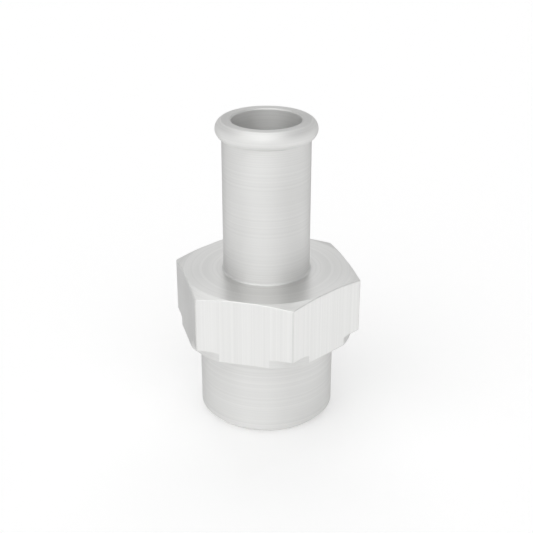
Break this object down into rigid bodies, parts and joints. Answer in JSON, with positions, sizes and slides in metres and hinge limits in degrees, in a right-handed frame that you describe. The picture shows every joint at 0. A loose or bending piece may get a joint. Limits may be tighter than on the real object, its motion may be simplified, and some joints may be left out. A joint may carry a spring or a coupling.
{
  "type": "hose nipple",
  "caption": "One-piece turned hose nipple: a beaded tail for a hose above a spanner hexagon, a seating collar and a plain spigot, bored straight through.",
  "frame": {"origin": "centre of the spigot's end face, the lowest point, on which the nipple stands", "axes": "+Z along the bore, from the spigot up to the hose tail; two flats of the hexagon are square to X"},
  "size_m": [0.027, 0.031, 0.05],
  "materials": {
    "turned_steel": "pale satin stainless steel with fine turning marks"
  },
  "bodies": {
    "root": {"hose_nipple": "turned_steel"}
  },
  "joints": []
}
